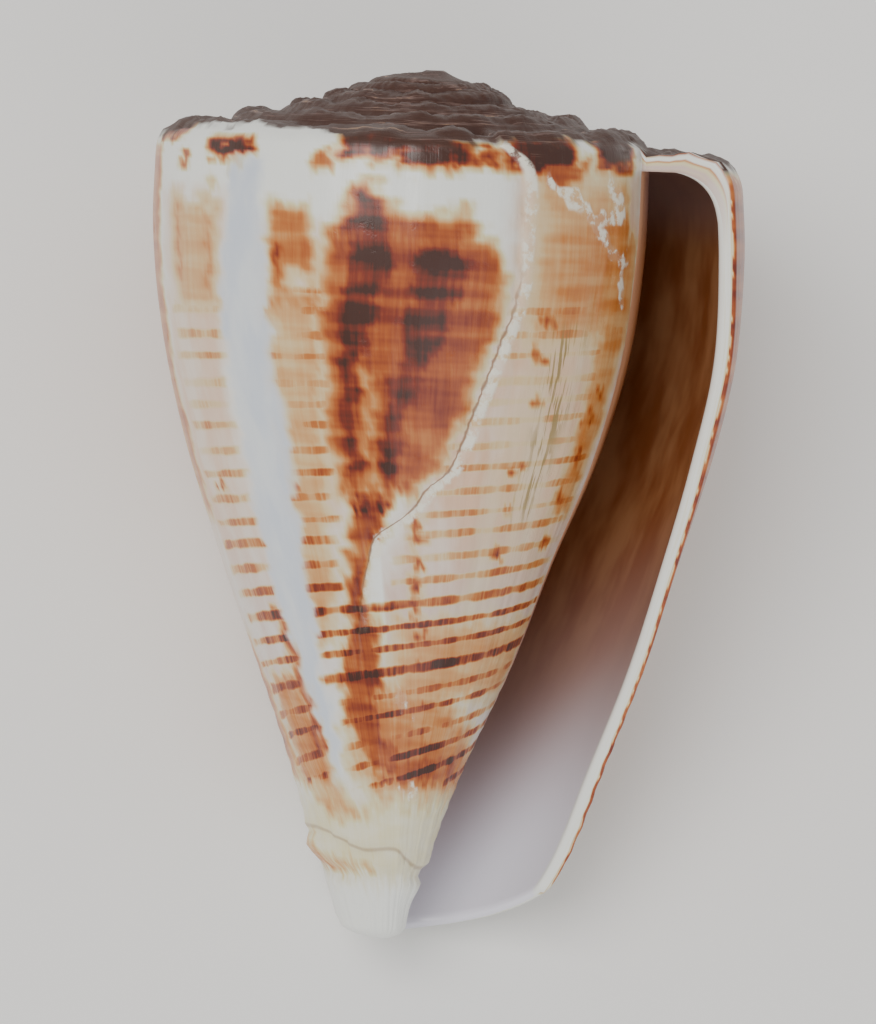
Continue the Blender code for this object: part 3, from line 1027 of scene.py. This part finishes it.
def inside_looks(colours, streaks):
    def looks(n):
        turn, run = n.growth()
        growth = n.group(streaks)
        # The hollow darkens with depth: deep brown far in, then mauve, then bluish white towards the lip and
        # the front end, with mauve again near its top. This is partly the shell's own colour and partly
        # painted shade of the hollow's depth.
        reach = n.times(n.math("FRACT", turn), -40, run)
        brown = n.mix(n.spread(growth["Bands"], 0.35, 0.65), colours.inside, colours.inside_light)
        colour = n.mix(n.spread(reach, 20, 34), brown, colours.mauve)
        colour = n.mix(n.spread(reach, 29, 43), colour, colours.lavender)
        colour = n.mix(n.spread(run, 6.3, 10, 0.8, 0), colour, colours.mauve)
        colour = n.mix(n.spread(turn, 0.003, 0.01, 1, 0), colour, colours.porcelain)
        margin = n.times(n.spread(turn, 1.002, 1.03, 1, 0), n.math("GREATER_THAN", turn, 0.999))
        margin = n.times(margin, n.spread(run, 34, 42, 1, 0))
        colour = n.mix(margin, colour, colours.margin)
        return {"Base Color": colour, "Roughness": 0.3, "Coat Weight": 0.4, "Coat Roughness": 0.15}
    return looks


# Settings

def number(name, description, value, **settings):
    return FloatProperty(name=name, description=description, default=value, min=0, **settings)


def length(name, description, metres):
    return number(name, description, metres, precision=5, unit="LENGTH")


def colour(name, description, rgb):
    return FloatVectorProperty(name=name, description=description, default=rgb, size=3,
                               min=0, max=1, subtype="COLOR")


class ConeShellSurface(bpy.types.PropertyGroup):
    """How deep the marks in the surface are."""

    growth_waves: length("Growth Waves", "Height of the low waves left by growth", 0.00006)
    cords: length("Spiral Cords", "Height of the spiral cords near the front", 0.000035)
    break_step: length("Break Step", "Step along the repaired break", 0.00022)
    break_groove: length("Break Groove", "Groove along the repaired break", 0.00012)
    spire_wear: length("Spire Wear", "How deep the spire is worn", 0.00042)
    collar_step: length("Collar Step", "Step of the wavy edge above the front collar", 0.0003)
    outer_rounding: length("Outer Rounding", "Rounding of the wall's outer edge", 0.00022)
    inner_rounding: length("Inner Rounding", "Rounding of the wall's inner edge", 0.00035)


class ConeShellColours(bpy.types.PropertyGroup):
    """Colours of the shell, and its gloss."""

    porcelain: colour("Porcelain", "Bare worn ground", (0.86, 0.87, 0.82))
    cream: colour("Cream", "Faintly stained ground", (0.74, 0.66, 0.38))
    tan: colour("Tan", "Light wash of pigment", (0.68, 0.40, 0.17))
    orange: colour("Orange", "Middle wash of pigment", (0.56, 0.2, 0.045))
    rust: colour("Rust", "Strong wash of pigment", (0.40, 0.085, 0.012))
    red_brown: colour("Red Brown", "Dark blotches", (0.2, 0.022, 0.006))
    dark: colour("Dark", "Darkest blotches", (0.05, 0.013, 0.006))
    flush: colour("Flush", "Pinkish ground between the rows", (0.74, 0.46, 0.29))
    flush_low: colour("Low Flush", "Greyish pink ground near the front", (0.66, 0.5, 0.44))
    ray: colour("Ray", "Bluish white rays", (0.61, 0.66, 0.74))
    # Pale: chipped shell along the break, and partly painted highlight on the cracks
    pale: colour("Pale", "Glossy pale crumbs along the break", (0.85, 0.81, 0.68))
    crack: colour("Crack", "Line along the repaired break", (0.26, 0.115, 0.05))
    grime: colour("Grime", "Olive scratches", (0.3, 0.2, 0.055))
    # Dark brown of the spire: partly pigment, partly painted shade
    spire: colour("Spire", "Dark brown of the spire", (0.065, 0.022, 0.011))
    scale: colour("Scale", "Grey scales of the spire", (0.17, 0.1, 0.085))
    # Inside, Inside Light and Mauve are partly the hollow's own colour and partly painted shade of its depth
    inside: colour("Inside", "Deep brown of the hollow", (0.32, 0.1, 0.03))
    inside_light: colour("Inside Light", "Streaks of the hollow", (0.5, 0.23, 0.1))
    margin: colour("Margin", "Peach stripe where the body turns into the hollow", (0.85, 0.46, 0.27))
    mauve: colour("Mauve", "Hollow's band before the front", (0.42, 0.27, 0.24))
    lavender: colour("Lavender", "Bluish white front of the hollow", (0.8, 0.78, 0.86))
    gloss: number("Gloss", "Roughness of the polished parts", 0.3, max=1, subtype="FACTOR")


class ConeShellStage(bpy.types.PropertyGroup):
    """Floor, lights and camera."""

    floor_size: length("Floor Size", "Side of the square floor", 3.0)
    floor: colour("Floor", "Colour of the floor", (0.93, 0.92, 0.9))
    key_power: number("Key Power", "Power of the large soft light", 4.5, unit="POWER")
    fill_power: number("Fill Power", "Power of the low light before the tip", 1.0, unit="POWER")
    world: number("Surroundings", "Strength of the even light from around", 0.6)


def surface():
    return bpy.context.scene.cone_shell_surface


class CONESHELL_OT_shell(bpy.types.Operator):
    """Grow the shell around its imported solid"""

    bl_idname = "cone_shell.shell"
    bl_label = "Grow Shell"

    def execute(self, context):
        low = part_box("cone_shell")[0]
        mesh = bpy.data.meshes.new("cone_shell_skin")
        bm = grow_shell(lie_down())
        for vert in bm.verts:
            vert.co.z = max(vert.co.z, low.z)
        bm.to_mesh(mesh)
        bm.free()
        colours = context.scene.cone_shell_colours
        streaks, rows, speckle = streaks_group(), rows_group(), speckle_group()
        mesh.materials.append(shader("shell_outside", outside_looks(colours, streaks, rows, speckle)))
        mesh.materials.append(shader("shell_lip", lip_looks(colours, streaks)))
        mesh.materials.append(shader("shell_inside", inside_looks(colours, streaks)))
        piece = bpy.data.objects.new("cone_shell_skin", mesh)
        context.scene.collection.objects.link(piece)
        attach(piece, "root")
        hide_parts("cone_shell")
        return {"FINISHED"}


class CONESHELL_OT_stage(bpy.types.Operator):
    """Set the floor, the lights and the camera of the photograph"""

    bl_idname = "cone_shell.stage"
    bl_label = "Set Stage"

    def light(self, context, name, at, aim, size, power, colour):
        lamp = bpy.data.lights.new(name, "AREA")
        lamp.size = size
        lamp.energy = power
        lamp.color = colour
        lamp_object = bpy.data.objects.new(name, lamp)
        lamp_object.location = at
        lamp_object.rotation_euler = (aim - at).to_track_quat("-Z", "Y").to_euler()
        context.scene.collection.objects.link(lamp_object)

    def execute(self, context):
        stage = context.scene.cone_shell_stage
        low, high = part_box("cone_shell")
        middle = (low + high) / 2

        mesh = bpy.data.meshes.new("floor")
        bm = bmesh.new()
        bmesh.ops.create_grid(bm, x_segments=1, y_segments=1, size=stage.floor_size / 2)
        bmesh.ops.translate(bm, verts=bm.verts, vec=(0, 0, low.z))
        bm.to_mesh(mesh)
        bm.free()
        floor = bpy.data.objects.new("floor", mesh)
        context.scene.collection.objects.link(floor)
        paper = {"Base Color": stage.floor, "Roughness": PAPER_ROUGHNESS}
        mesh.materials.append(shader("floor_paper", lambda n: paper))

        world = bpy.data.worlds.new("surroundings")
        world.use_nodes = True
        background = world.node_tree.nodes["Background"]
        background.inputs["Color"].default_value = (1, 1, 1, 1)
        background.inputs["Strength"].default_value = stage.world
        context.scene.world = world

        lying = lie_down()
        dip, roll = VIEW_DIP, VIEW_ROLL
        forward = Vector((0, math.cos(dip), -math.sin(dip)))
        over = Vector((0, math.sin(dip), math.cos(dip)))
        right = math.cos(roll) * Vector((1, 0, 0)) + math.sin(roll) * over
        up = math.cos(roll) * over - math.sin(roll) * Vector((1, 0, 0))
        at = VIEW_AIM[0] * right + VIEW_AIM[1] * up - VIEW_DISTANCE * forward
        axes = Matrix((right, up, -forward)).transposed().to_4x4()
        camera = bpy.data.cameras.new("camera")
        camera.sensor_fit = "VERTICAL"
        camera.sensor_height = SENSOR
        camera.lens = LENS
        camera.clip_start = 0.01
        camera_object = bpy.data.objects.new("camera", camera)
        camera_object.matrix_world = lying @ Matrix.Translation(at * MM) @ axes
        context.scene.collection.objects.link(camera_object)
        context.scene.camera = camera_object

        turned = lying.to_3x3()
        key = middle + turned @ (LIGHT_DISTANCE * (0.4 * up - 0.5 * right - 1.65 * forward))
        fill = middle + turned @ (LIGHT_DISTANCE * (0.5 * right - 0.9 * up - 1.1 * forward))
        self.light(context, "key", key, middle, KEY_SIZE, stage.key_power, KEY_COLOUR)
        self.light(context, "fill", fill, middle, FILL_SIZE, stage.fill_power, FILL_COLOUR)
        return {"FINISHED"}


class CONESHELL_PT_panel(bpy.types.Panel):
    """Lists the shell's settings and its operators"""

    bl_idname = "CONESHELL_PT_panel"
    bl_label = "Cone Shell"
    bl_space_type = "VIEW_3D"
    bl_region_type = "UI"
    bl_category = "Cone Shell"

    def draw(self, context):
        for group, operator in (("cone_shell_surface", None), ("cone_shell_colours", "cone_shell.shell"),
                                ("cone_shell_stage", "cone_shell.stage")):
            settings = getattr(context.scene, group)
            for name in settings.__annotations__:
                self.layout.prop(settings, name)
            if operator:
                self.layout.operator(operator)


GROUPS = {"cone_shell_surface": ConeShellSurface, "cone_shell_colours": ConeShellColours,
          "cone_shell_stage": ConeShellStage}
CLASSES = (*GROUPS.values(), CONESHELL_OT_shell, CONESHELL_OT_stage, CONESHELL_PT_panel)


def register():
    for cls in CLASSES:
        bpy.utils.register_class(cls)
    for name, group in GROUPS.items():
        setattr(bpy.types.Scene, name, PointerProperty(type=group))


def unregister():
    for name in GROUPS:
        delattr(bpy.types.Scene, name)
    for cls in reversed(CLASSES):
        bpy.utils.unregister_class(cls)


def main():
    register()
    bpy.ops.cone_shell.shell()
    bpy.ops.cone_shell.stage()


if __name__ == "__main__":
    main()
